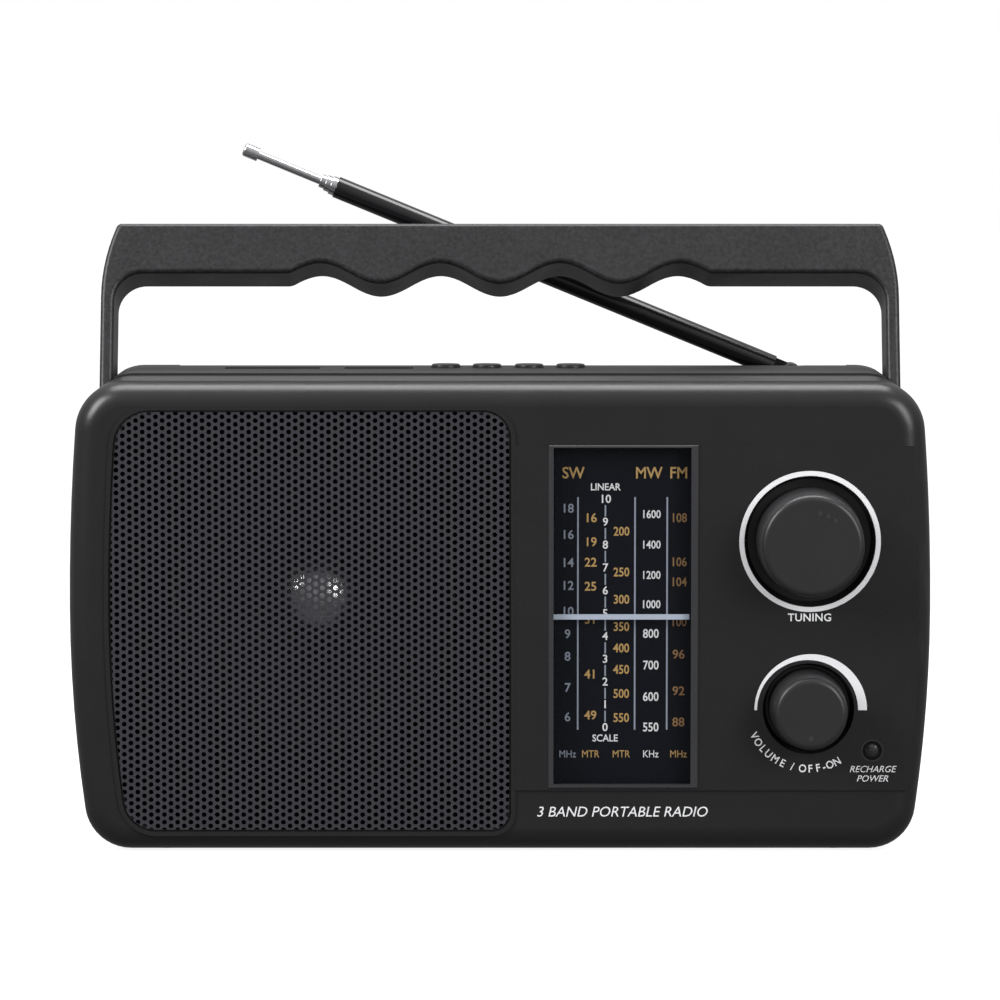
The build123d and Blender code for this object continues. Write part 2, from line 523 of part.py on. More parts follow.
with BuildPart() as handle:
    wave = [(n * GRIP_PITCH / 8, grip_underside(n * GRIP_PITCH / 8)) for n in range(-14, 15)]
    low = -HANDLE_DEPTH / 2
    right = [(TOP_HALF_WIDTH, HANDLE_TOP), (HANDLE_OUTER_X, SHOULDER_V), (HANDLE_OUTER_X, low)]
    right += [(HANDLE_INNER_X, low), (HANDLE_INNER_X, GRIP_UNDER), (wave_end, GRIP_UNDER)]
    left = [(-x, v) for x, v in reversed(right)]
    with BuildSketch(Plane(origin=(0, HANDLE_PIVOT_Y, HANDLE_PIVOT_Z), x_dir=(1, 0, 0), z_dir=(0, -1, 0))) as bail:
        with BuildLine():
            Polyline(*left, *right)
            Spline(*wave)
        make_face()
        for half_width, height, radius in BAIL_FILLETS:
            corners = [v for v in bail.vertices() if math.hypot(abs(v.X) - half_width, v.Y - height) < 0.1]
            fillet(corners, radius)
    extrude(amount=HANDLE_DEPTH / 2, both=True)
    fillet(handle.edges().filter_by(Axis.X).group_by(Axis.Z)[0], HANDLE_DEPTH / 2 - 0.1)
    rims = handle.faces().filter_by(Axis.Y)
    fillet(rims.edges().filter_by_position(Axis.Z, HANDLE_PIVOT_Z + 30, HANDLE_PIVOT_Z + 70), 1.3)
    for side in (-1, 1):
        with Locations((side * HANDLE_INNER_X, HANDLE_PIVOT_Y, HANDLE_PIVOT_Z)):
            Cylinder(3.0 + RUNNING, 20, rotation=(0, 90, 0), mode=Mode.SUBTRACT)
leaning_handle = handle.part.rotate(Axis((0, HANDLE_PIVOT_Y, HANDLE_PIVOT_Z), (1, 0, 0)), -HANDLE_LEAN)
leaning_handle.label = "handle"
export_step(leaning_handle, "parts/handle.step")

with BuildPart() as handle_pivots:
    for side in (-1, 1):
        head = HANDLE_OUTER_X + 0.2
        steps = (1.7, CHANNEL_X - 8, CHANNEL_X), (3.0, CHANNEL_X, head), (4.6, head, head + 1.3)
        for r, low, high in steps:
            with Locations((side * (low + high) / 2, HANDLE_PIVOT_Y, HANDLE_PIVOT_Z)):
                Cylinder(r, high - low, rotation=(0, 90, 0))
        with Locations((side * (head + 1.3), HANDLE_PIVOT_Y, HANDLE_PIVOT_Z)):
            Box(1.2, 5.2, 0.9, mode=Mode.SUBTRACT)
            Box(1.2, 0.9, 5.2, mode=Mode.SUBTRACT)
save(handle_pivots, "handle_pivots")

# ---------------------------------------------------------------- telescopic antenna
BLACK_END = 141.0
TUBES = [(3.1, 2.8, 5.5, BLACK_END), (2.7, 2.4, 44.0, BLACK_END + 1.6), (2.3, 2.0, 46.0, BLACK_END + 3.2),
         (1.9, 1.6, 48.0, BLACK_END + 4.8)]
ROD_R, ROD_START, TIP_START, TIP_END = 1.2, 50.0, BLACK_END + 24.0, 169.5
tilt = math.radians(ANTENNA_TILT)
along = (-math.cos(tilt), 0, math.sin(tilt))
antenna_plane = Plane(origin=(ANTENNA_X, ANTENNA_Y, ANTENNA_Z), x_dir=(0, 1, 0), z_dir=along)

with BuildPart() as antenna_base:
    # threaded bush in the pocket's floor, with its nut inside the case
    with Locations((ANTENNA_X, ANTENNA_Y, POCKET_FLOOR_Z)):
        Cylinder(4.6, 1.4, align=(Align.CENTER, Align.CENTER, Align.MIN))
        Cylinder(1.5, 3.4, align=(Align.CENTER, Align.CENTER, Align.MAX))
    with Locations((ANTENNA_X, ANTENNA_Y, POCKET_FLOOR_Z + 1.4)):
        Cylinder(2.0, 3.6, align=(Align.CENTER, Align.CENTER, Align.MIN))
save(antenna_base, "antenna_base")

FORK_BOTTOM, FORK_TOP, FORK_HALF_GAP = POCKET_FLOOR_Z + 1.6, REBATE_FLOOR_Z + 0.1, 1.6
with BuildPart() as antenna_fork:
    with Locations((ANTENNA_X, ANTENNA_Y, FORK_BOTTOM)):
        Cylinder(4.6, FORK_TOP - FORK_BOTTOM, align=(Align.CENTER, Align.CENTER, Align.MIN))
        Cylinder(2.0 + RUNNING, 3.6, align=(Align.CENTER, Align.CENTER, Align.MIN), mode=Mode.SUBTRACT)
    with BuildSketch(facing(ANTENNA_Y + 3.1)):
        with Locations((ANTENNA_X, ANTENNA_Z)):
            Circle(3.1)
        with Locations((ANTENNA_X, (FORK_TOP + ANTENNA_Z) / 2 - 1)):
            Rectangle(6.2, ANTENNA_Z - FORK_TOP + 2)
    extrude(amount=6.2)
    block((ANTENNA_X - 10, ANTENNA_X + 10), (ANTENNA_Y - FORK_HALF_GAP, ANTENNA_Y + FORK_HALF_GAP),
          (ANTENNA_Z - 3.4, ANTENNA_Z + 10), Mode.SUBTRACT)
    with Locations((ANTENNA_X, ANTENNA_Y, ANTENNA_Z)):
        Cylinder(1.0, 20, rotation=(90, 0, 0), mode=Mode.SUBTRACT)
save(antenna_fork, "antenna_fork")

with BuildPart() as antenna_pin:
    with Locations((ANTENNA_X, ANTENNA_Y, ANTENNA_Z)):
        Cylinder(1.0, 6.2, rotation=(90, 0, 0))
save(antenna_pin, "antenna_pin")

for number, (outer_r, inner_r, start, end) in enumerate(TUBES, 1):
    with BuildPart() as tube:
        with BuildSketch(antenna_plane.offset(start)):
            Circle(outer_r)
        extrude(amount=end - start)
        fillet(tube.faces().sort_by(Axis((0, 0, 0), antenna_plane.z_dir))[-1].edges(), 0.15)
        with BuildSketch(antenna_plane.offset(start + (3 if number == 1 else 0))):
            Circle(inner_r)
        extrude(amount=end, mode=Mode.SUBTRACT)
        if number == 1:
            # flat eye that the fork holds
            with BuildSketch(Plane(origin=(ANTENNA_X, ANTENNA_Y + 1.5, ANTENNA_Z), x_dir=along, z_dir=(0, -1, 0))):
                Circle(2.9)
                with Locations((3.4, 0)):
                    Rectangle(6.8, 5.2)
            extrude(amount=3.0)
            with Locations((ANTENNA_X, ANTENNA_Y, ANTENNA_Z)):
                Cylinder(1.0 + RUNNING / 2, 20, rotation=(90, 0, 0), mode=Mode.SUBTRACT)
    save(tube, f"antenna_tube_{number}")

with BuildPart() as antenna_rod:
    with BuildSketch(antenna_plane.offset(ROD_START)):
        Circle(ROD_R)
    extrude(amount=TIP_START - ROD_START)
    with BuildSketch(antenna_plane.offset(TIP_START)):
        Circle(ROD_R + 0.7)
    extrude(amount=TIP_END - TIP_START)
    fillet(antenna_rod.faces().sort_by(Axis.Z)[-1].edges(), 0.7)
save(antenna_rod, "antenna_rod")

# ---------------------------------------------------------------- top controls and sockets
BUTTON_NAMES = ["button_play", "button_previous", "button_next", "button_mode"]
BUTTON_TOP, BUTTON_BOTTOM = REAR_TOP_Z + 1.0, 121.2
BUTTON_TRAVEL = 0.8
BUTTON_PCB_Z, SWITCH_TOP_Z = 116.0, BUTTON_BOTTOM - BUTTON_TRAVEL - 0.15
for label, x in zip(BUTTON_NAMES, BUTTON_X):
    with BuildPart() as button:
        with Locations((x, BUTTON_Y, BUTTON_TOP)):
            Cylinder(BUTTON_R, 3.0, align=(Align.CENTER, Align.CENTER, Align.MAX))
        fillet(button.faces().sort_by(Axis.Z)[-1].edges(), 0.6)
        with Locations((x, BUTTON_Y, BUTTON_BOTTOM)):
            Cylinder(1.6, BUTTON_TOP - BUTTON_BOTTOM - 1, align=(Align.CENTER, Align.CENTER, Align.MIN))
    save(button, label)

with BuildPart() as tact_switches:
    for x in BUTTON_X:
        block((x - 3, x + 3), (BUTTON_Y - 3, BUTTON_Y + 3), (BUTTON_PCB_Z, SWITCH_TOP_Z - 0.7))
        with Locations((x, BUTTON_Y, SWITCH_TOP_Z)):
            Cylinder(1.7, 0.7, align=(Align.CENTER, Align.CENTER, Align.MAX))
save(tact_switches, "tact_switches")

MEDIA_PCB_Y = SLOT_Y - 5.6
SOCKET_TOP_Z = REAR_TOP_Z - SHELL_WALL
# one upright board behind the sockets and a small level one under the buttons
with BuildPart() as media_boards:
    block((-84, -26), (MEDIA_PCB_Y, MEDIA_PCB_Y + PCB_T), (88, 122))
    block((-23, 28), (BUTTON_Y - 6, BUTTON_Y + 5), (BUTTON_PCB_Z - PCB_T, BUTTON_PCB_Z))
save(media_boards, "media_boards")

with BuildPart() as card_socket:
    block((CARD_X - 14.5, CARD_X + 14.5), (MEDIA_PCB_Y + PCB_T, SLOT_Y + 2.6), (94, SOCKET_TOP_Z))
    card_gap = (SLOT_Y - 1.25, SLOT_Y + 1.25)
    block((CARD_X - 12.4, CARD_X + 12.4), card_gap, (96, SOCKET_TOP_Z + 1), Mode.SUBTRACT)
save(card_socket, "card_socket")

with BuildPart() as usb_socket:
    block((USB_X - 7.2, USB_X + 7.2), (MEDIA_PCB_Y + PCB_T, SLOT_Y + 3.3), (108, SOCKET_TOP_Z))
    block((USB_X - 6.4, USB_X + 6.4), (SLOT_Y - 2.6, SLOT_Y + 2.6), (110, SOCKET_TOP_Z + 1), Mode.SUBTRACT)
    block((USB_X - 5.6, USB_X + 5.6), (SLOT_Y + 0.6, SLOT_Y + 2.4), (110, SOCKET_TOP_Z - 2))
save(usb_socket, "usb_socket")

# ---------------------------------------------------------------- side controls and jacks
with BuildPart() as band_switch_knob:
    block((HALF_WIDTH - 6.5, HALF_WIDTH - 0.3), (SWITCH_Y - 2, SWITCH_Y + 2), (SWITCH_Z - 3, SWITCH_Z + 3))
    fillet(band_switch_knob.faces().sort_by(Axis.X)[-1].edges(), 0.5)
    for step in (-1.5, 0, 1.5):
        with Locations((HALF_WIDTH - 0.3, SWITCH_Y, SWITCH_Z + step)):
            Box(0.8, 6, 0.6, mode=Mode.SUBTRACT)
save(band_switch_knob, "band_switch_knob")

with BuildPart() as band_switch_body:
    switch_y, switch_z = (SWITCH_Y - 3.5, SWITCH_Y + 3.5), (SWITCH_Z - 11, SWITCH_Z + 11)
    block((HALF_WIDTH - 16, HALF_WIDTH - 6.8), switch_y, switch_z)
save(band_switch_body, "band_switch_body")

JACKS = [("ear_jack", EAR_JACK_Y, EAR_JACK_Z, EAR_JACK_R), ("dc_jack", DC_JACK_Y, DC_JACK_Z, DC_JACK_R)]
for label, y, z, bore_r in JACKS:
    with BuildPart() as jack:
        side_wall = -side_x(z, REAR_STEP_IN)
        block((side_wall + SHELL_WALL + 0.4, side_wall + SHELL_WALL + 12), (y - 5, y + 5), (z - 5, z + 5))
        with Locations((side_wall + 0.4, y, z)):
            Cylinder(bore_r + 1.1, 5, rotation=(0, 90, 0), align=(Align.CENTER, Align.CENTER, Align.MIN))
        with Locations((side_wall + 0.4, y, z)):
            Cylinder(bore_r, 20, rotation=(0, 90, 0), mode=Mode.SUBTRACT)
        if label == "dc_jack":
            with Locations((side_wall + 3, y, z)):
                Cylinder(0.8, 11, rotation=(0, 90, 0), align=(Align.CENTER, Align.CENTER, Align.MIN))
    save(jack, label)

with BuildPart() as mains_inlet:
    block((INLET_X - 10.2, INLET_X + 10.2), (REAR_Y - 14, REAR_Y - 0.2), (INLET_Z - 5.7, INLET_Z + 5.7))
    fillet(mains_inlet.edges().filter_by(Axis.Y), 3)
    with BuildSketch(facing(REAR_Y)):
        with Locations((INLET_X, INLET_Z)):
            SlotOverall(15.4, 8.2)
    extrude(amount=11, mode=Mode.SUBTRACT)
    with BuildSketch(facing(REAR_Y - 2.5)):
        with Locations((INLET_X - 3.6, INLET_Z), (INLET_X + 3.6, INLET_Z)):
            Circle(1.1)
    extrude(amount=10)
save(mains_inlet, "mains_inlet")

# ---------------------------------------------------------------- battery door, feet and fasteners
DOOR_GAP = 0.3
with BuildPart() as battery_door:
    door_x, door_z = (DOOR_LEFT + DOOR_GAP, DOOR_RIGHT - DOOR_GAP), (DOOR_BOTTOM + DOOR_GAP, DOOR_TOP - DOOR_GAP)
    block(door_x, (REAR_Y - DOOR_THICK, REAR_Y), door_z)
    # rounded hinge edge at the bottom
    fillet(battery_door.faces().sort_by(Axis.Z)[0].edges().filter_by(Axis.X), DOOR_THICK / 2 - 0.01)
    # finger grip at the top edge
    with BuildSketch(facing(REAR_Y)):
        with Locations((0, DOOR_TOP - 6)):
            with GridLocations(0, 1.8, 1, 4):
                SlotOverall(18, 0.9)
    extrude(amount=0.6, mode=Mode.SUBTRACT)
save(battery_door, "battery_door")

FOOT_R = 6.0
with BuildPart() as rubber_feet:
    for y, top in ((FRONT_Y + 14, BASE_Z + 0.6), (REAR_Y - 14, BASE_Z + REAR_STEP_IN)):
        with Locations((-92, y, 0), (92, y, 0)):
            Cylinder(FOOT_R, top, align=(Align.CENTER, Align.CENTER, Align.MIN))
    fillet(rubber_feet.faces().group_by(Axis.Z)[0].edges(), 0.4)
save(rubber_feet, "rubber_feet")

with BuildPart() as case_screws:
    with BuildSketch(facing(REAR_Y - 20)):
        with Locations(*CASE_SCREWS):
            Circle(SCREW_R)
    extrude(amount=REAR_DEPTH - 20 + 12)
    with BuildSketch(facing(REAR_Y - 20 + 1.8)):
        with Locations(*CASE_SCREWS):
            Circle(2.7)
            Circle(0.9, mode=Mode.SUBTRACT)
    extrude(amount=1.8)
save(case_screws, "case_screws")

# ---------------------------------------------------------------- loudspeaker
BASKET_Y = INNER_FRONT_Y
CONE_EDGE_R, CAP_R, MAGNET_R = 38.0, 11.0, 25.0
MAGNET_FRONT_Y, MAGNET_BACK_Y = -8.0, 2.0
SPEAKER_HOLES = 4


def speaker_piece(points):
    revolve(turning_profile(SPEAKER_X, SPEAKER_Z, points), axis=turning_axis(SPEAKER_X, SPEAKER_Z))


with BuildPart() as speaker_basket:
    flange_back = BASKET_Y + 1.2
    flange = [(CONE_EDGE_R + 1, BASKET_Y), (SPEAKER_R, BASKET_Y), (SPEAKER_R, flange_back)]
    flange.append((CONE_EDGE_R + 3, flange_back))
    seat = [(20, MAGNET_FRONT_Y - 0.8), (20, MAGNET_FRONT_Y), (13, MAGNET_FRONT_Y), (13, MAGNET_FRONT_Y - 1.6)]
    speaker_piece([*flange, *seat, (19, MAGNET_FRONT_Y - 1.6), (CONE_EDGE_R + 1, BASKET_Y + 2)])
    # windows between the basket's spokes
    with BuildSketch(facing(MAGNET_FRONT_Y)):
        with Locations((SPEAKER_X, SPEAKER_Z)):
            with PolarLocations(29.5, 6, start_angle=30):
                RectangleRounded(9, 16, 3)
    extrude(amount=14, mode=Mode.SUBTRACT)
    with BuildSketch(facing(BASKET_Y - 1)):
        with Locations((SPEAKER_X, SPEAKER_Z)):
            with PolarLocations(SPEAKER_R - 2.6, SPEAKER_HOLES, start_angle=45):
                Circle(1.3)
    extrude(amount=-4, mode=Mode.SUBTRACT)
save(speaker_basket, "speaker_basket")

with BuildPart() as speaker_magnet:
    pole_r, ring_front, ring_back = MAGNET_R - 3, MAGNET_FRONT_Y + 1.5, MAGNET_BACK_Y - 1.5
    ring = [(pole_r, ring_front), (MAGNET_R, ring_front), (MAGNET_R, ring_back), (pole_r, ring_back)]
    front, back = [(0, MAGNET_FRONT_Y), (pole_r, MAGNET_FRONT_Y)], [(pole_r, MAGNET_BACK_Y), (0, MAGNET_BACK_Y)]
    speaker_piece(front + ring + back)
save(speaker_magnet, "speaker_magnet")

with BuildPart() as speaker_cone:
    cone_top, cone_low = BASKET_Y + 1.0, BASKET_Y + 14.0
    roll_in, roll_mid, former_end = CONE_EDGE_R - 5, CONE_EDGE_R - 3, MAGNET_FRONT_Y - 1.7
    front = [(CAP_R - 1, cone_low), (CAP_R, cone_low), (roll_in, cone_top + 1), (roll_mid, cone_top - 0.5)]
    edge = [(CONE_EDGE_R, cone_top), (CONE_EDGE_R, cone_top + 0.7), (roll_mid, cone_top + 0.3)]
    edge.append((roll_in, cone_top + 1.9))
    speaker_piece([*front, *edge, (CAP_R, cone_low + 1), (CAP_R, former_end), (CAP_R - 1, former_end)])
save(speaker_cone, "speaker_cone")

with BuildPart() as speaker_dust_cap:
    with Locations((SPEAKER_X, cone_low + 8.8, SPEAKER_Z)):
        Sphere(14)
        Sphere(13.4, mode=Mode.SUBTRACT)
    split(bisect_by=facing(cone_low - 0.02), keep=Keep.TOP)
save(speaker_dust_cap, "speaker_dust_cap")

with BuildPart() as speaker_screws:
    with BuildSketch(facing(BASKET_Y + 1.2)):
        with Locations((SPEAKER_X, SPEAKER_Z)):
            with PolarLocations(SPEAKER_R - 2.6, SPEAKER_HOLES, start_angle=45):
                Circle(2.4)
    extrude(amount=-1.6)
    with BuildSketch(facing(BASKET_Y + 1.2)):
        with Locations((SPEAKER_X, SPEAKER_Z)):
            with PolarLocations(SPEAKER_R - 2.6, SPEAKER_HOLES, start_angle=45):
                Circle(1.25)
    extrude(amount=1.2)
save(speaker_screws, "speaker_screws")

# ---------------------------------------------------------------- main board and its components
BOARD_LEFT, BOARD_RIGHT, BOARD_BOTTOM, BOARD_TOP = 6.0, 110.0, 20.0, 112.0
BOARD_BACK_Y = PCB_Y + PCB_T
with BuildPart() as main_pcb:
    block((BOARD_LEFT, BOARD_RIGHT), (PCB_Y, BOARD_BACK_Y), (BOARD_BOTTOM, BOARD_TOP))
    with BuildSketch(facing(PCB_Y - 1)):
        with Locations(((BOARD_LEFT + BOARD_RIGHT) / 2, (BOARD_BOTTOM + BOARD_TOP) / 2)):
            with GridLocations(BOARD_RIGHT - BOARD_LEFT - 8, BOARD_TOP - BOARD_BOTTOM - 8, 2, 2):
                Circle(1.6)
    extrude(amount=-4, mode=Mode.SUBTRACT)
save(main_pcb, "main_pcb")

with BuildPart() as if_cans:
    for x, z in ((64, 60), (64, 72), (76, 60), (76, 100), (88, 100)):
        block((x - 3.5, x + 3.5), (BOARD_BACK_Y, BOARD_BACK_Y + 10), (z - 3.5, z + 3.5))
save(if_cans, "if_cans")

with BuildPart() as circuit_components:
    for x, z, w, h in ((26, 84, 20, 8), (84, 74, 26, 7), (26, 100, 12, 6)):
        block((x - w / 2, x + w / 2), (BOARD_BACK_Y, BOARD_BACK_Y + 3.2), (z - h / 2, z + h / 2))
    for x, z, r, tall in ((46, 84, 4, 9), (46, 98, 3.2, 8), (56, 98, 3.2, 8), (16, 70, 5, 12), (30, 70, 3, 8)):
        with Locations((x, BOARD_BACK_Y + tall / 2, z)):
            Cylinder(r, tall, rotation=(90, 0, 0))
save(circuit_components, "circuit_components")

ROD_Y, ROD_Z = 7.5, 113.0
with BuildPart() as ferrite_rod:
    with Locations((-26, ROD_Y, ROD_Z)):
        Cylinder(5, 120, rotation=(0, 90, 0))
save(ferrite_rod, "ferrite_rod")

with BuildPart() as aerial_coils:
    for x, length in ((-64, 22), (6, 26)):
        with Locations((x, ROD_Y, ROD_Z)):
            Cylinder(6.2, length, rotation=(0, 90, 0))
            Cylinder(5.0, length, rotation=(0, 90, 0), mode=Mode.SUBTRACT)
save(aerial_coils, "aerial_coils")

with BuildPart() as mains_transformer:
    block((72, 104), (16, 34), (48, 76))
    block((76, 100), (9, 41), (54, 70))
save(mains_transformer, "mains_transformer")

# ---------------------------------------------------------------- batteries
CELL_R, CELL_LONG, CELL_Y, CELL_Z = 16.6, 59.5, 25.5, 21.5
with BuildPart() as battery_cells:
    for side in (-1, 1):
        centre = side * 31.0
        with Locations((centre, CELL_Y, CELL_Z)):
            Cylinder(CELL_R, CELL_LONG, rotation=(0, 90, 0))
        with Locations((centre + CELL_LONG / 2, CELL_Y, CELL_Z)):
            Cylinder(4.7, 1.4, rotation=(0, 90, 0), align=(Align.CENTER, Align.CENTER, Align.MIN))
save(battery_cells, "battery_cells")

with BuildPart() as battery_contacts:
    for side in (-1, 1):
        plate = side * 63.6
        block((plate - 0.4, plate + 0.4), (CELL_Y - 9, CELL_Y + 9), (CELL_Z - 11, CELL_Z + 11))
    with Locations((-63.2, CELL_Y, CELL_Z)):
        Cone(6, 3.2, 2.2, rotation=(0, 90, 0), align=(Align.CENTER, Align.CENTER, Align.MIN))
save(battery_contacts, "battery_contacts")
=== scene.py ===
"""Looks of the portable shortwave receiver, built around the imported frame.

Metres, +Z up, the front faces -Y.
"""

import math

import bmesh
import bpy
from mathutils import Matrix, Vector


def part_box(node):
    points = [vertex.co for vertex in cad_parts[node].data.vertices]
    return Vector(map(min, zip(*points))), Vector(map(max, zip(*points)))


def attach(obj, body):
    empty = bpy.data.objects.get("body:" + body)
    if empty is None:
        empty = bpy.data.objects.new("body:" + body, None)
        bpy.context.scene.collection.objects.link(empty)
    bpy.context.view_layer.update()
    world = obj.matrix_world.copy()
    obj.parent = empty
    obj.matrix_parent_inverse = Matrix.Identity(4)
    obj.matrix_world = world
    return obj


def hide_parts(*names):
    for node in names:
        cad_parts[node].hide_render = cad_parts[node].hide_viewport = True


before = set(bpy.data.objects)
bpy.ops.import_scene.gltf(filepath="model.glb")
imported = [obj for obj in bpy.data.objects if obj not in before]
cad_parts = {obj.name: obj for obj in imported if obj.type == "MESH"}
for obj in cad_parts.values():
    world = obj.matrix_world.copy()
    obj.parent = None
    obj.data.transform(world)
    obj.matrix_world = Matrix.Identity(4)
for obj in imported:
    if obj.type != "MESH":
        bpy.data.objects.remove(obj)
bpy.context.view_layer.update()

MM = 0.001
WHITE = (0.80, 0.80, 0.82)
AMBER = (0.52, 0.33, 0.12)
DIM_AMBER = (0.30, 0.17, 0.07)
PALE_BLUE = (0.30, 0.34, 0.42)
GREY = (0.035, 0.035, 0.037)
BLACK = (0.002, 0.002, 0.002)

# ------------------------------------------------------------------ places read from the frame
sheet_low, sheet_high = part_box("speaker_grille")
plate_low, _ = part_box("dial_plate")
window_low, window_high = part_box("dial_window")
tuning_low, tuning_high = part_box("tuning_knob")
volume_low, volume_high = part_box("volume_knob")
lamp_low, lamp_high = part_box("led_lens")
shell_low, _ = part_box("front_shell")
tuning = (tuning_low + tuning_high) / 2
volume = (volume_low + volume_high) / 2
lamp = (lamp_low + lamp_high) / 2
FRONT_Y = sheet_low.y
PANEL_Y = shell_low.y
PRINT_LIFT = 0.03 * MM

# ------------------------------------------------------------------ materials
BUMP_DEPTH = 0.08 * MM
BROAD_DETAIL = 2.0
RAMP_FROM, RAMP_TO = 0.3, 0.7
SHEEN_SPREAD, METAL_SPREAD = 0.07, 0.05  # roughness varies by this much each way
SMOOTHEST, SMOOTHEST_METAL = 0.02, 0.03
WAVE_PERIOD, WAVE_WANDER = 20, 1.5  # rings in one unit of the wave texture, and its distortion
MOTTLE, MOTTLE_SHADE = 3 * MM, 0.9


def shader(name):
    material = bpy.data.materials.new(name)
    material.use_nodes = True
    tree = material.node_tree
    return material, tree.nodes, tree.links, tree.nodes["Principled BSDF"]


def noise(nodes, links, coordinates, size, detail=4.0):
    texture = nodes.new("ShaderNodeTexNoise")
    texture.inputs["Scale"].default_value = 1.0 / size
    texture.inputs["Detail"].default_value = detail
    links.new(coordinates.outputs["Object"], texture.inputs["Vector"])
    return texture


def colour_ramp(nodes, links, pattern, principled, low, high):
    """Base colour between two colours, driven by a pattern."""
    ramp = nodes.new("ShaderNodeValToRGB")
    ramp.color_ramp.elements[0].color = (*low, 1)
    ramp.color_ramp.elements[1].color = (*high, 1)
    links.new(pattern.outputs["Fac"], ramp.inputs["Fac"])
    links.new(ramp.outputs["Color"], principled.inputs["Base Color"])
    return ramp


def varied_roughness(nodes, links, pattern, principled, low, high):
    spread = nodes.new("ShaderNodeMapRange")
    spread.inputs["To Min"].default_value = low
    spread.inputs["To Max"].default_value = high
    links.new(pattern.outputs["Fac"], spread.inputs["Value"])
    links.new(spread.outputs["Result"], principled.inputs["Roughness"])


def finish(name, colour, rough, metallic=0.0, grain=0.5 * MM, bump=0.15, tint=0.15,
           smear=12 * MM, coat=0.0, alpha=1.0, spec=0.5):
    """Procedural finish: fine grain in colour and relief, broad smears in roughness."""
    material, nodes, links, principled = shader(name)
    coordinates = nodes.new("ShaderNodeTexCoord")
    fine = noise(nodes, links, coordinates, grain)
    broad = noise(nodes, links, coordinates, smear, BROAD_DETAIL)
    dark = [c * (1 - tint) for c in colour]
    light = [min(1.0, c * (1 + tint)) for c in colour]
    ramp = colour_ramp(nodes, links, fine, principled, dark, light)
    ramp.color_ramp.elements[0].position = RAMP_FROM
    ramp.color_ramp.elements[1].position = RAMP_TO
    varied_roughness(nodes, links, broad, principled,
                     max(SMOOTHEST, rough - SHEEN_SPREAD), rough + SHEEN_SPREAD)
    relief = nodes.new("ShaderNodeBump")
    relief.inputs["Strength"].default_value = bump
    relief.inputs["Distance"].default_value = BUMP_DEPTH
    links.new(fine.outputs["Fac"], relief.inputs["Height"])
    links.new(relief.outputs["Normal"], principled.inputs["Normal"])
    principled.inputs["Metallic"].default_value = metallic
    principled.inputs["Coat Weight"].default_value = coat
    principled.inputs["Specular IOR Level"].default_value = spec
    principled.inputs["Alpha"].default_value = alpha
    return material


def turned_metal(name, colour, rough, rings=0.35 * MM):
    """Metal with fine tool marks around it."""
    material, nodes, links, principled = shader(name)
    coordinates = nodes.new("ShaderNodeTexCoord")
    wave = nodes.new("ShaderNodeTexWave")
    wave.bands_direction = "X"
    wave.inputs["Scale"].default_value = 1.0 / rings / WAVE_PERIOD
    wave.inputs["Distortion"].default_value = WAVE_WANDER
    links.new(coordinates.outputs["Object"], wave.inputs["Vector"])
    varied_roughness(nodes, links, wave, principled,
                     max(SMOOTHEST_METAL, rough - METAL_SPREAD), rough + METAL_SPREAD)
    mottle = noise(nodes, links, coordinates, MOTTLE)
    shade = [c * MOTTLE_SHADE for c in colour]
    colour_ramp(nodes, links, mottle, principled, shade, colour)
    principled.inputs["Metallic"].default_value = 1.0
    return material


BODY = finish("casing_plastic", (0.0138, 0.0138, 0.0144), 0.30, grain=0.35 * MM, bump=0.12,
              spec=0.35)
REAR = finish("rear_plastic", (0.0165, 0.0165, 0.0174), 0.48, bump=0.3, spec=0.25)
GRAINED = finish("handle_plastic", (0.0135, 0.0135, 0.0148), 0.40, grain=1.1 * MM, bump=1.0,
                 tint=0.5, spec=0.40)
KNOB = finish("knob_plastic", (0.021, 0.021, 0.0224), 0.34, grain=0.3 * MM, bump=0.1, spec=0.35)
GLOSS = finish("bezel_plastic", (0.034, 0.034, 0.037), 0.16, grain=0.3 * MM, bump=0.03)
SHEET = finish("grille_paint", (0.050, 0.048, 0.056), 0.30, metallic=0.3, grain=0.4 * MM,
               bump=0.1, spec=0.4)
DIAL = finish("dial_card", (0.0040, 0.0050, 0.0085), 0.4, grain=0.3 * MM, bump=0.03, spec=0.15)
CLEAR = finish("dial_clear", (0.010, 0.011, 0.013), 0.05, grain=0.2 * MM, bump=0.0, alpha=0.08,
               spec=0.2)
LAMP = finish("lamp_lens", (0.020, 0.018, 0.018), 0.2, grain=0.4 * MM, bump=0.02, coat=0.2)
NEEDLE = finish("pointer_enamel", (0.50, 0.56, 0.68), 0.35, grain=0.4 * MM, bump=0.03, tint=0.04)
NYLON = finish("white_nylon", (0.70, 0.69, 0.64), 0.45, grain=0.4 * MM, bump=0.05, tint=0.05)
RUBBER = finish("foot_rubber", (0.012, 0.012, 0.012), 0.75, grain=0.4 * MM, bump=0.4, spec=0.3)
BLACK_METAL = finish("antenna_enamel", (0.005, 0.005, 0.006), 0.20, metallic=0.1,
                     grain=0.6 * MM, bump=0.03, coat=0.2)
CHROME = turned_metal("antenna_chrome", (0.62, 0.62, 0.64), 0.16)
STEEL = turned_metal("zinc_steel", (0.55, 0.55, 0.56), 0.32)
DARK_STEEL = turned_metal("blackened_steel", (0.06, 0.06, 0.065), 0.35)
BRASS = turned_metal("turned_brass", (0.66, 0.48, 0.20), 0.25)
BOARD = finish("board_resist", (0.02, 0.12, 0.05), 0.35, grain=0.6 * MM, bump=0.08)
MOULDED = finish("moulded_parts", (0.015, 0.015, 0.016), 0.5, grain=0.4 * MM, bump=0.2, spec=0.3)
FERRITE = finish("ferrite", (0.06, 0.055, 0.055), 0.55, bump=0.3)
COPPER = turned_metal("enamelled_wire", (0.45, 0.20, 0.09), 0.3, rings=0.3 * MM)
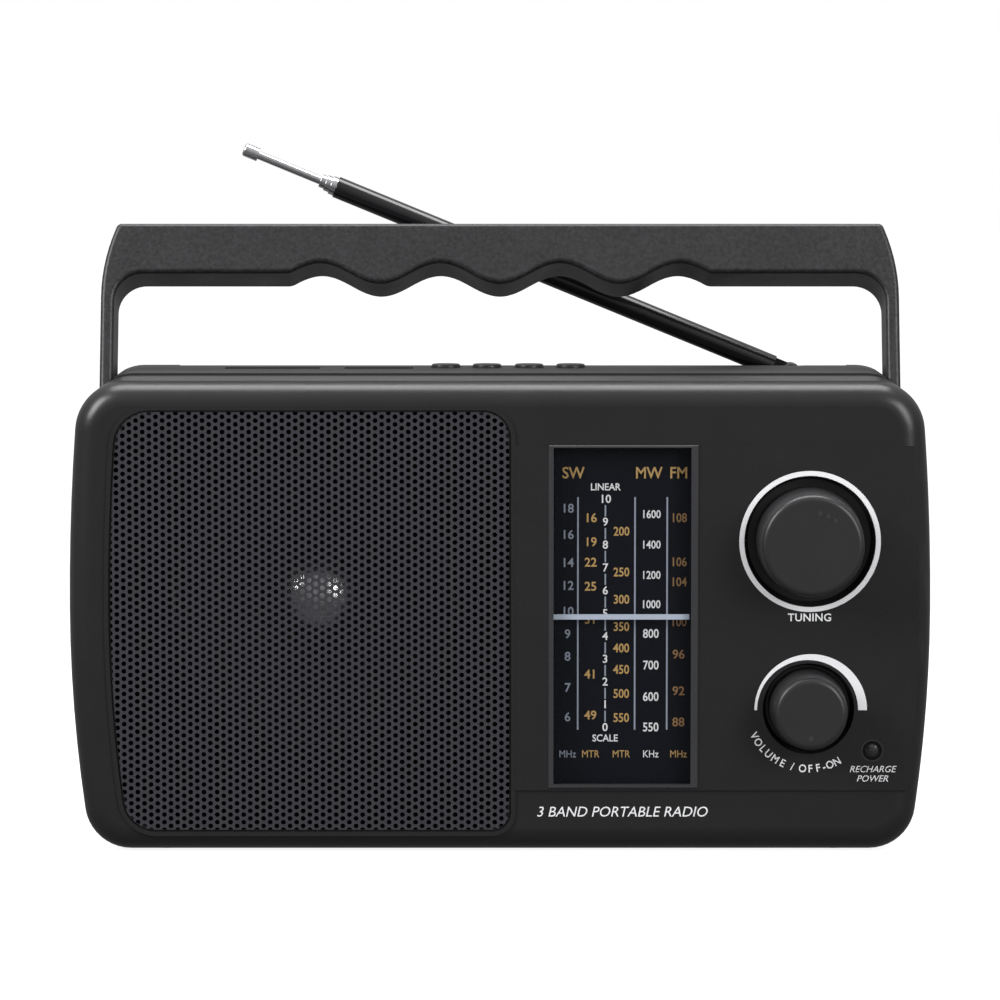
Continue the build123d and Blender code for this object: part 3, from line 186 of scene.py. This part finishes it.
PAPER = finish("cone_paper", (0.010, 0.010, 0.011), 0.8, grain=0.7 * MM, bump=0.6, spec=0.1)
CAP = finish("dust_cap_film", (0.85, 0.85, 0.86), 0.20, metallic=1.0, grain=0.6 * MM, bump=0.1)
CORD = finish("braided_cord", (0.50, 0.46, 0.36), 0.8, grain=0.25 * MM, bump=0.6)
CELL = finish("cell_sleeve", (0.05, 0.10, 0.20), 0.3, bump=0.05)

LOOKS = {
    BODY: ["front_shell"],
    REAR: ["rear_shell", "battery_door"],
    GRAINED: ["handle"],
    KNOB: ["tuning_knob", "volume_knob", "band_switch_knob",
           "button_play", "button_previous", "button_next", "button_mode"],
    GLOSS: ["dial_bezel"],
    SHEET: ["speaker_grille"],
    DIAL: ["dial_plate"],
    CLEAR: ["dial_window"],
    LAMP: ["led_lens"],
    NEEDLE: ["pointer"],
    NYLON: ["pulley_upper", "pulley_lower", "tuning_drum"],
    RUBBER: ["rubber_feet"],
    BLACK_METAL: ["antenna_tube_1"],
    CHROME: ["antenna_fork", "antenna_tube_2", "antenna_tube_3", "antenna_tube_4",
             "antenna_rod"],
    STEEL: ["tuning_spindle", "volume_spindle", "pointer_rail", "chassis_plate", "volume_pot",
            "usb_socket", "card_socket", "mains_transformer", "if_cans", "antenna_base",
            "battery_contacts", "tact_switches", "band_switch_body"],
    DARK_STEEL: ["case_screws", "speaker_screws", "speaker_basket", "handle_pivots"],
    BRASS: ["spindle_bushes", "antenna_pin"],
    BOARD: ["main_pcb", "media_boards"],
    MOULDED: ["circuit_components", "tuning_capacitor", "ear_jack", "dc_jack", "mains_inlet"],
    FERRITE: ["ferrite_rod", "speaker_magnet"],
    COPPER: ["aerial_coils"],
    PAPER: ["speaker_cone"],
    CAP: ["speaker_dust_cap"],
    CORD: ["dial_cord"],
    CELL: ["battery_cells"],
}
for material, names in LOOKS.items():
    for name in names:
        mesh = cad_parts[name].data
        mesh.materials.clear()
        mesh.materials.append(material)


def place_piece(name, bm, material, body):
    """Turns a bmesh into a visible piece that rides on a body."""
    mesh = bpy.data.meshes.new(name)
    bm.to_mesh(mesh)
    bm.free()
    piece = bpy.data.objects.new(name, mesh)
    bpy.context.scene.collection.objects.link(piece)
    mesh.materials.clear()
    mesh.materials.append(material)
    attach(piece, body)
    return piece


# ------------------------------------------------------------------ perforated speaker grille
# the casing's side is two arcs that meet at its widest height
HALF_WIDTH, WAIST_Z, UPPER_R, LOWER_R = 118 * MM, 67 * MM, 660 * MM, 400 * MM
HOLE_R, HOLE_SIDES = 0.70 * MM, 10
PITCH_Z, COLUMN_X = 2.08 * MM, 1.81 * MM
HEXAGON_SIDES, HEXAGON_R = 6, COLUMN_X * 2 / 3
# the sheet's corners: radius, at the left, at the top
CORNERS = (
    (9.3 * MM, True, True),
    (8.8 * MM, True, False),
    (7.1 * MM, False, True),
    (4.8 * MM, False, False),
)
SIDE_GAP = HALF_WIDTH + sheet_low.x
CARD_T = 0.2 * MM
CARD_GAP = 0.01 * MM
SPEAKER_OPENING_R = 38.2 * MM
CARD_STEPS = 180
FAR_OUT = 0.3  # a reach beyond the sheet, which onto_sheet brings back to its outline
VERTEX_STEPS = 5e5  # vertices that share 2 micrometres are one
MERGE = 1e-6


def around(x, z, radius, count):
    """Points on a circle round (x, z)."""
    return [(x + radius * math.cos(2 * math.pi * k / count),
             z + radius * math.sin(2 * math.pi * k / count)) for k in range(count)]


def sheet_left(z):
    """The sheet's left edge at height z, parallel to the casing's side."""
    radius = UPPER_R if z > WAIST_Z else LOWER_R
    return SIDE_GAP - HALF_WIDTH + radius - math.sqrt(radius**2 - (z - WAIST_Z) ** 2)


def onto_sheet(x, z):
    """The nearest point to (x, z) within the sheet's rounded outline."""
    z = min(max(z, sheet_low.z), sheet_high.z)
    x = min(max(x, sheet_left(z)), sheet_high.x)
    for radius, left, upper in CORNERS:
        centre_z = sheet_high.z - radius if upper else sheet_low.z + radius
        centre_x = sheet_left(centre_z) + radius if left else sheet_high.x - radius
        dx, dz = x - centre_x, z - centre_z
        beyond = (dx < 0 if left else dx > 0) and (dz > 0 if upper else dz < 0)
        reach = math.hypot(dx, dz)
        if beyond and reach > radius:
            x, z = centre_x + dx * radius / reach, centre_z + dz * radius / reach
    return x, z


def perforated_sheet():
    """One hexagon of sheet around each hole, in offset columns, trimmed to the outline."""
    bm = bmesh.new()
    columns = int((sheet_high.x - sheet_low.x) / COLUMN_X) + 2
    rows = int((sheet_high.z - sheet_low.z) / PITCH_Z) + 3
    front, back = sheet_low.y, sheet_high.y - CARD_T
    shared = {}

    def vertex(x, y, z):
        x, z = onto_sheet(x, z)
        key = tuple(round(c * VERTEX_STEPS) for c in (x, y, z))
        if key not in shared:
            shared[key] = bm.verts.new((x, y, z))
        return shared[key]

    def face(corners):
        unique = list(dict.fromkeys(corners))
        if len(unique) > 2 and bm.faces.get(unique) is None:
            bm.faces.new(unique)

    def cell(x, z):
        hexagon = around(x, z, HEXAGON_R, HEXAGON_SIDES)
        hole = around(x, z, HOLE_R, HOLE_SIDES)
        for y, turn in ((front, 1), (back, -1)):
            outer = [vertex(px, y, pz) for px, pz in hexagon]
            inner = [vertex(px, y, pz) for px, pz in hole]
            for k in range(HOLE_SIDES):
                # each stretch of the hole's edge joins the nearest hexagon corner or side
                here = round(k * HEXAGON_SIDES / HOLE_SIDES) % HEXAGON_SIDES
                there = round((k + 1) * HEXAGON_SIDES / HOLE_SIDES) % HEXAGON_SIDES
                corners = [inner[k], outer[here], outer[there], inner[(k + 1) % HOLE_SIDES]]
                face(corners[::turn])
        for (ax, az), (bx, bz) in zip(hole, hole[1:] + hole[:1]):
            face([vertex(ax, front, az), vertex(bx, front, bz),
                  vertex(bx, back, bz), vertex(ax, back, az)])

    for column in range(columns):
        x = sheet_low.x + column * COLUMN_X
        for row in range(rows):
            z = sheet_low.z + (row - 0.5 * (column % 2)) * PITCH_Z
            near_x, near_z = onto_sheet(x, z)
            if math.hypot(near_x - x, near_z - z) <= HEXAGON_R:
                cell(x, z)
    bmesh.ops.dissolve_degenerate(bm, dist=MERGE, edges=bm.edges)
    return bm


def backing_card():
    """Black card behind the sheet, open in front of the speaker: painted shade that darkens what
    shows through the holes.
    """
    cap_low, cap_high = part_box("speaker_dust_cap")
    centre = (cap_low + cap_high) / 2
    bm = bmesh.new()
    front, back = sheet_high.y - CARD_T + CARD_GAP, sheet_high.y - CARD_GAP
    outline = [onto_sheet(x, z) for x, z in around(centre.x, centre.z, FAR_OUT, CARD_STEPS)]
    opening = around(centre.x, centre.z, SPEAKER_OPENING_R, CARD_STEPS)
    loops = [[bm.verts.new((x, y, z)) for x, z in pair for y in (front, back)]
             for pair in zip(outline, opening)]
    for (of, ob, nf, nb), (of2, ob2, nf2, nb2) in zip(loops, loops[1:] + loops[:1]):
        for corners in ((of, nf, nf2, of2), (ob, ob2, nb2, nb),
                        (of, of2, ob2, ob), (nf, nb, nb2, nf2)):
            bm.faces.new(corners)
    bmesh.ops.remove_doubles(bm, verts=bm.verts, dist=MERGE)
    bmesh.ops.recalc_face_normals(bm, faces=bm.faces)
    return bm


grille = place_piece("grille_perforated", perforated_sheet(), SHEET, "cabinet")
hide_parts("speaker_grille")
# painted shade: a plain black card behind the holes stands in for the shade seen through them
SHADE_CARD = finish("backing_card", BLACK, 0.9, bump=0.3, spec=0.0)
place_piece("grille_shade_card", backing_card(), SHADE_CARD, "cabinet")

# ------------------------------------------------------------------ printed rings and lettering


def ink_finish(name, colour, rough=0.5, tint=0.05, spec=0.5):
    return finish(name, colour, rough, grain=0.3 * MM, bump=0.02, tint=tint, spec=spec)


PRINTS = {
    "white": ink_finish("print_white", WHITE),
    "amber": ink_finish("print_amber", AMBER, tint=0.06),
    "dim": ink_finish("print_dim_amber", DIM_AMBER, tint=0.06),
    "blue": ink_finish("print_pale_blue", PALE_BLUE),
    "grey": ink_finish("print_grey", GREY, 0.4, spec=0.3),
    "black": ink_finish("print_black", BLACK, 0.3, spec=0.2),
}
INK = 0.02 * MM
CAP_SHARE = 0.70  # cap height as a share of the font's size
CURVE_STEPS = 3
DOT_STEPS = 20
sheets = {}  # (surface, ink) -> list of meshes that are joined into one piece


def gather(surface, ink, mesh):
    sheets.setdefault((surface, ink), []).append(mesh)


def lettering(text, x, y, z, height, ink, surface, turn=0.0, slant=0.0, stretch=1.0,
              spacing=1.0, weight=0.02):
    """Raised ink letters of that cap height, centred on (x, z), on the plane at depth y."""
    curve = bpy.data.curves.new(text, "FONT")
    curve.body = text
    curve.size = height / CAP_SHARE
    curve.shear = slant
    curve.offset = weight * height
    curve.align_x, curve.align_y = "CENTER", "CENTER"
    curve.extrude = INK / 2
    curve.resolution_u = CURVE_STEPS
    curve.space_character = spacing
    temporary = bpy.data.objects.new("temporary", curve)
    bpy.context.scene.collection.objects.link(temporary)
    bpy.context.view_layer.update()
    evaluated = temporary.evaluated_get(bpy.context.evaluated_depsgraph_get())
    mesh = bpy.data.meshes.new_from_object(evaluated)
    bpy.data.objects.remove(temporary)
    upright = Matrix.Translation((x, y - INK / 2, z)) @ Matrix.Rotation(math.pi / 2, 4, "X")
    shape = Matrix.Rotation(turn, 4, "Z") @ Matrix.Diagonal((stretch, 1, 1, 1))
    mesh.transform(upright @ shape)
    gather(surface, ink, mesh)


def flat_shape(outer, inner, y, ink, surface):
    """Thin band of ink between two outlines of (x, z) points, or filled if inner is None."""
    bm = bmesh.new()
    (front_out, front_in), (back_out, back_in) = [
        [[bm.verts.new((x, depth, z)) for x, z in line] for line in (outer, inner or [])]
        for depth in (y - INK, y)]
    if inner is None:
        bm.faces.new(front_out)
        bm.faces.new(back_out[::-1])
    for k in range(len(outer)):
        n = (k + 1) % len(outer)
        bm.faces.new((front_out[n], front_out[k], back_out[k], back_out[n]))
        if inner is not None:
            bm.faces.new((front_out[k], front_out[n], front_in[n], front_in[k]))
            bm.faces.new((back_out[n], back_out[k], back_in[k], back_in[n]))
            bm.faces.new((front_in[k], front_in[n], back_in[n], back_in[k]))
    bmesh.ops.recalc_face_normals(bm, faces=bm.faces)
    mesh = bpy.data.meshes.new("ink")
    bm.to_mesh(mesh)
    bm.free()
    gather(surface, ink, mesh)


def bar(x, half_width, z0, z1, ink):
    """Upright line on the dial."""
    x0, x1 = x - half_width, x + half_width
    flat_shape([(x0, z0), (x1, z0), (x1, z1), (x0, z1)], None, DIAL_PRINT, ink, "dial")


def ring(centre, inner_r, outer_r, ink, count):
    """Ring of ink on the front panel."""
    flat_shape(around(centre.x, centre.z, outer_r, count),
               around(centre.x, centre.z, inner_r, count), PANEL_PRINT, ink, "panel")


def dot(x, z, radius, y, surface):
    """Grey disc in a knob's face: painted light that stands in for a shallow dimple."""
    flat_shape(around(x, z, radius, DOT_STEPS), None, y, "grey", surface)


PLATE_SETBACK = 1.2 * MM  # the dial's printed face lies this far behind the plate's ledges
PANEL_PRINT = PANEL_Y - PRINT_LIFT
DIAL_PRINT = plate_low.y + PLATE_SETBACK - PRINT_LIFT
FACE_PRINT = FRONT_Y - PRINT_LIFT

# the ring round the tuning knob
RING_IN, RING_OUT, RING_STEPS = 17.95 * MM, 19.3 * MM, 96
ring(tuning, RING_IN, RING_OUT, "white", RING_STEPS)

# the volume mark: a crescent over the knob, thin at the left and thick at the right, with
# level ends
ARC_OUT, OUT_SHIFT = 15.4 * MM, 0.60 * MM
ARC_IN, IN_SHIFT = 13.8 * MM, -0.25 * MM
ARC_DROP, ARC_STEPS = 0.38 * MM, 48
arc_outer, arc_inner = [
    [(volume.x + shift + radius * math.cos(math.pi * step / ARC_STEPS),
      volume.z - ARC_DROP + radius * math.sin(math.pi * step / ARC_STEPS))
     for step in range(ARC_STEPS + 1)]
    for radius, shift in ((ARC_OUT, OUT_SHIFT), (ARC_IN, IN_SHIFT))]
flat_shape(arc_outer + arc_inner[::-1], None, PANEL_PRINT, "white", "panel")

# labels of the controls
LABEL_H, LABEL_DROP = 2.1 * MM, 20.9 * MM
lettering("TUNING", tuning.x, PANEL_PRINT, tuning.z - LABEL_DROP, LABEL_H, "white", "panel",
          spacing=1.05)
LABEL_ARC_R, ARC_START, ARC_SWEEP = 16.6 * MM, math.radians(-157), math.radians(99)
ARC_LABEL = "VOLUME / OFF-ON"
LETTER_ROOM = {" ": 0.5, "/": 0.7, "-": 0.6, "M": 1.2}
rooms = [LETTER_ROOM.get(letter, 1.0) for letter in ARC_LABEL]
for place, letter in enumerate(ARC_LABEL):
    angle = ARC_START + ARC_SWEEP * (sum(rooms[:place]) + rooms[place] / 2) / sum(rooms)
    if letter != " ":
        lettering(letter, volume.x + LABEL_ARC_R * math.cos(angle), PANEL_PRINT,
                  volume.z + LABEL_ARC_R * math.sin(angle), LABEL_H, "white", "panel",
                  turn=angle + math.pi / 2, stretch=0.9)
LAMP_LABEL_H = 1.75 * MM
for text, drop in (("RECHARGE", 5.2 * MM), ("POWER", 7.8 * MM)):
    lettering(text, lamp.x, PANEL_PRINT, lamp.z - drop, LAMP_LABEL_H, "white", "panel",
              slant=0.28, weight=0.0)
LAMP_HOLE_R, LAMP_SHADE_R, LAMP_RIM_R, LAMP_STEPS = 1.9 * MM, 2.7 * MM, 3.0 * MM, 48
ring(lamp, LAMP_HOLE_R, LAMP_SHADE_R, "black", LAMP_STEPS)
ring(lamp, LAMP_SHADE_R, LAMP_RIM_R, "grey", LAMP_STEPS)
KIND_LINE_Z, KIND_LINE_H = 11.2 * MM, 2.8 * MM
lettering("3 BAND PORTABLE RADIO", (window_low.x + window_high.x) / 2, FACE_PRINT, KIND_LINE_Z,
          KIND_LINE_H, "white", "face", slant=0.22, stretch=0.98, weight=0.0)

# ------------------------------------------------------------------ the dial's scales
SCALE_TOP, SCALE_BOTTOM = 97.5 * MM, 33.5 * MM
NUMBER_H, STEP_H, UNIT_H, UNIT_Z = 2.4 * MM, 2.2 * MM, 2.0 * MM, 26.7 * MM
NARROW = 0.86  # stretch of numbers over 99 and of the units
THOUSANDS_SHARE = 0.9  # height of numbers over 999
LINE_HALF_WIDTH, STEP_LINE_HALF_WIDTH = 0.22 * MM, 0.2 * MM
COLUMN = {
    "sw_mhz": 18.5 * MM, "sw_m": 24.8 * MM, "scale": 28.8 * MM,
    "mw_m": 33.2 * MM, "mw_khz": 41.3 * MM, "fm": 48.9 * MM,
}
for line_x in (21.3 * MM, 36.9 * MM, 45.7 * MM):
    bar(line_x, LINE_HALF_WIDTH, SCALE_BOTTOM, SCALE_TOP, "blue")


def height_at(value, marks):
    """Height of a value on a scale that is even between its known marks."""
    for (low, z_low), (high, z_high) in zip(marks, marks[1:]):
        if value <= high:
            return (z_low + (z_high - z_low) * (value - low) / (high - low)) * MM
    return marks[-1][1] * MM


# (column, ink, numbers, heights in mm of some of the numbers, from the lowest number up)
SCALES = [
    ("sw_mhz", "blue", [18, 16, 14, 12, 10, 9, 8, 7, 6],
     [(6, 36.9), (7, 45.0), (8, 53.6), (10, 66.0), (12, 73.1), (14, 79.4), (16, 87.1),
      (18, 94.3)]),
    ("sw_m", "amber", [16, 19, 22, 25, 31, 41, 49],
     [(16, 91.7), (19, 85.1), (22, 79.5), (25, 72.9), (31, 63.8), (41, 48.7), (49, 37.4)]),
    ("mw_m", "amber", [200, 250, 300, 350, 400, 450, 500, 550],
     [(200, 88.0), (250, 76.8), (350, 61.8), (450, 50.0), (550, 36.7)]),
    ("mw_khz", "white", [1600, 1400, 1200, 1000, 800, 700, 600, 550],
     [(550, 34.1), (600, 42.5), (800, 59.9), (1200, 76.0), (1600, 92.7)]),
    ("fm", "dim", [108, 106, 104, 100, 96, 92, 88],
     [(88, 35.5), (92, 44.1), (96, 54.2), (100, 63.1), (106, 79.6), (108, 91.7)]),
]
for column, ink, numbers, marks in SCALES:
    for number in numbers:
        lettering(str(number), COLUMN[column], DIAL_PRINT, height_at(number, marks),
                  NUMBER_H * (THOUSANDS_SHARE if number > 999 else 1), ink, "dial",
                  stretch=NARROW if number > 99 else 1.0)

# the plain scale from 0 to 10, with a short line between each two numbers
STEPS = 10
END_MARGIN, LINE_GAP = 0.6 * MM, 1.6 * MM
STEP_Z = (SCALE_TOP - SCALE_BOTTOM - 2 * END_MARGIN) / STEPS
for step in range(STEPS + 1):
    z = SCALE_BOTTOM + END_MARGIN + STEP_Z * step
    lettering(str(step), COLUMN["scale"], DIAL_PRINT, z, STEP_H, "white", "dial")
    if step < STEPS:
        bar(COLUMN["scale"], STEP_LINE_HALF_WIDTH, z + LINE_GAP, z + STEP_Z - LINE_GAP, "blue")

# (text, x, z, cap height, ink), in mm
HEADINGS = (
    ("SW", 20.0, 104.0, 3.1, "amber"), ("MW", 40.6, 104.0, 3.1, "amber"),
    ("FM", 48.8, 104.0, 3.1, "amber"), ("LINEAR", 28.8, 100.2, 1.9, "white"),
    ("SCALE", 28.8, 31.1, 1.9, "white"),
)
for text, x, z, height, ink in HEADINGS:
    lettering(text, x * MM, DIAL_PRINT, z * MM, height * MM, ink, "dial", stretch=0.92)
UNITS = (
    ("MHz", "sw_mhz", "blue"), ("MTR", "sw_m", "amber"), ("MTR", "mw_m", "amber"),
    ("KHz", "mw_khz", "white"), ("MHz", "fm", "amber"),
)
for text, column, ink in UNITS:
    lettering(text, COLUMN[column], DIAL_PRINT, UNIT_Z, UNIT_H, ink, "dial", stretch=NARROW,
              weight=0.0)

# dimples in the knobs' faces, painted as lighter grey discs (painted light)
TUNING_DOT_R, VOLUME_DOT_R, VOLUME_DOT_DROP = 0.55 * MM, 0.7 * MM, 6.6 * MM
for dx, dz in ((1.8 * MM, 8.9 * MM), (4.0 * MM, 8.1 * MM), (5.9 * MM, 7.0 * MM)):
    dot(tuning.x + dx, tuning.z + dz, TUNING_DOT_R, tuning_low.y - PRINT_LIFT, "tuning_face")
dot(volume.x, volume.z - VOLUME_DOT_DROP, VOLUME_DOT_R, volume_low.y - PRINT_LIFT, "volume_face")

BODY_OF = {"tuning_face": "tuner", "volume_face": "volume"}
for (surface, ink), meshes in sheets.items():
    bm = bmesh.new()
    for mesh in meshes:
        bm.from_mesh(mesh)
        bpy.data.meshes.remove(mesh)
    place_piece(f"print_{surface}_{ink}", bm, PRINTS[ink], BODY_OF.get(surface, "cabinet"))

# ------------------------------------------------------------------ floor, lights and camera
FLOOR_REACH, FLOOR_DROP = 6.0, 0.2 * MM
FLOOR_GLOW = 0.90

# white to the camera only: the floor shows in no reflection and throws no light on the casing
floor_mesh = bpy.data.meshes.new("floor")
floor_mesh.from_pydata([(FLOOR_REACH * x, FLOOR_REACH * y, 0)
                        for x, y in ((-1, -1), (1, -1), (1, 1), (-1, 1))], [], [(0, 1, 2, 3)])
floor = bpy.data.objects.new("floor", floor_mesh)
paper = finish("floor_paper", (0.25, 0.25, 0.25), 0.9, grain=2 * MM, bump=0.02, tint=0.01,
               spec=0.0)
glow = paper.node_tree.nodes["Principled BSDF"].inputs
glow["Emission Color"].default_value = (1, 1, 1, 1)
glow["Emission Strength"].default_value = FLOOR_GLOW
floor_mesh.materials.append(paper)
bpy.context.scene.collection.objects.link(floor)
floor.location.z = -FLOOR_DROP
floor.visible_glossy = False
floor.visible_diffuse = False

# the surroundings: white to the camera, and to the object bright overhead and dark below
SKY_FROM, SKY_TO = -0.25, 0.9  # sine of the elevation
SKY_LOW, SKY_HIGH = 0.20, 0.75
world = bpy.data.worlds.new("studio")
bpy.context.scene.world = world
world.use_nodes = True
sky, sky_links = world.node_tree.nodes, world.node_tree.links
direction = sky.new("ShaderNodeTexCoord")
split = sky.new("ShaderNodeSeparateXYZ")
sky_links.new(direction.outputs["Generated"], split.inputs["Vector"])
gradient = sky.new("ShaderNodeMapRange")
gradient.inputs["From Min"].default_value = SKY_FROM
gradient.inputs["From Max"].default_value = SKY_TO
gradient.inputs["To Min"].default_value = SKY_LOW
gradient.inputs["To Max"].default_value = SKY_HIGH
sky_links.new(split.outputs["Z"], gradient.inputs["Value"])
seen = sky.new("ShaderNodeLightPath")
brightness = sky.new("ShaderNodeMapRange")
brightness.inputs["To Max"].default_value = 1.0
sky_links.new(seen.outputs["Is Camera Ray"], brightness.inputs["Value"])
sky_links.new(gradient.outputs["Result"], brightness.inputs["To Min"])
sky_links.new(brightness.outputs["Result"], sky["Background"].inputs["Strength"])
sky["Background"].inputs["Color"].default_value = (1, 1, 1, 1)


def aim_at(item, target):
    """Turns a lamp or camera so that it looks at a point."""
    item.rotation_euler = (target - item.location).to_track_quat("-Z", "Y").to_euler()


def area_light(name, place, target, size, watts):
    light = bpy.data.lights.new(name, "AREA")
    light.shape, light.energy = "RECTANGLE", watts
    light.size, light.size_y = size
    lamp_object = bpy.data.objects.new(name, light)
    lamp_object.location = place
    aim_at(lamp_object, Vector(target))
    bpy.context.scene.collection.objects.link(lamp_object)


area_light("top_box", (0.0, 0.05, 1.0), (0, 0, 0.1), (0.9, 0.5), 12)
area_light("left_box", (-0.72, -0.45, 0.60), (-0.06, 0, 0.13), (0.35, 0.5), 8.5)
area_light("right_box", (1.0, -1.1, 0.6), (0, 0, 0.08), (0.6, 0.8), 14)

CAMERA_DISTANCE, CAMERA_HEIGHT, AIM_HEIGHT = 1.300, 0.205, 0.0970
VIEW_WIDTH, SENSOR_WIDTH = 0.2724, 36
camera = bpy.data.objects.new("camera", bpy.data.cameras.new("camera"))
bpy.context.scene.collection.objects.link(camera)
camera.location = (0, FRONT_Y - CAMERA_DISTANCE, CAMERA_HEIGHT)
aim = Vector((0, FRONT_Y, AIM_HEIGHT))
aim_at(camera, aim)
camera.data.sensor_width = SENSOR_WIDTH
camera.data.lens = SENSOR_WIDTH * (aim - camera.location).length / VIEW_WIDTH
bpy.context.scene.camera = camera
bpy.context.scene.view_settings.view_transform = "Standard"
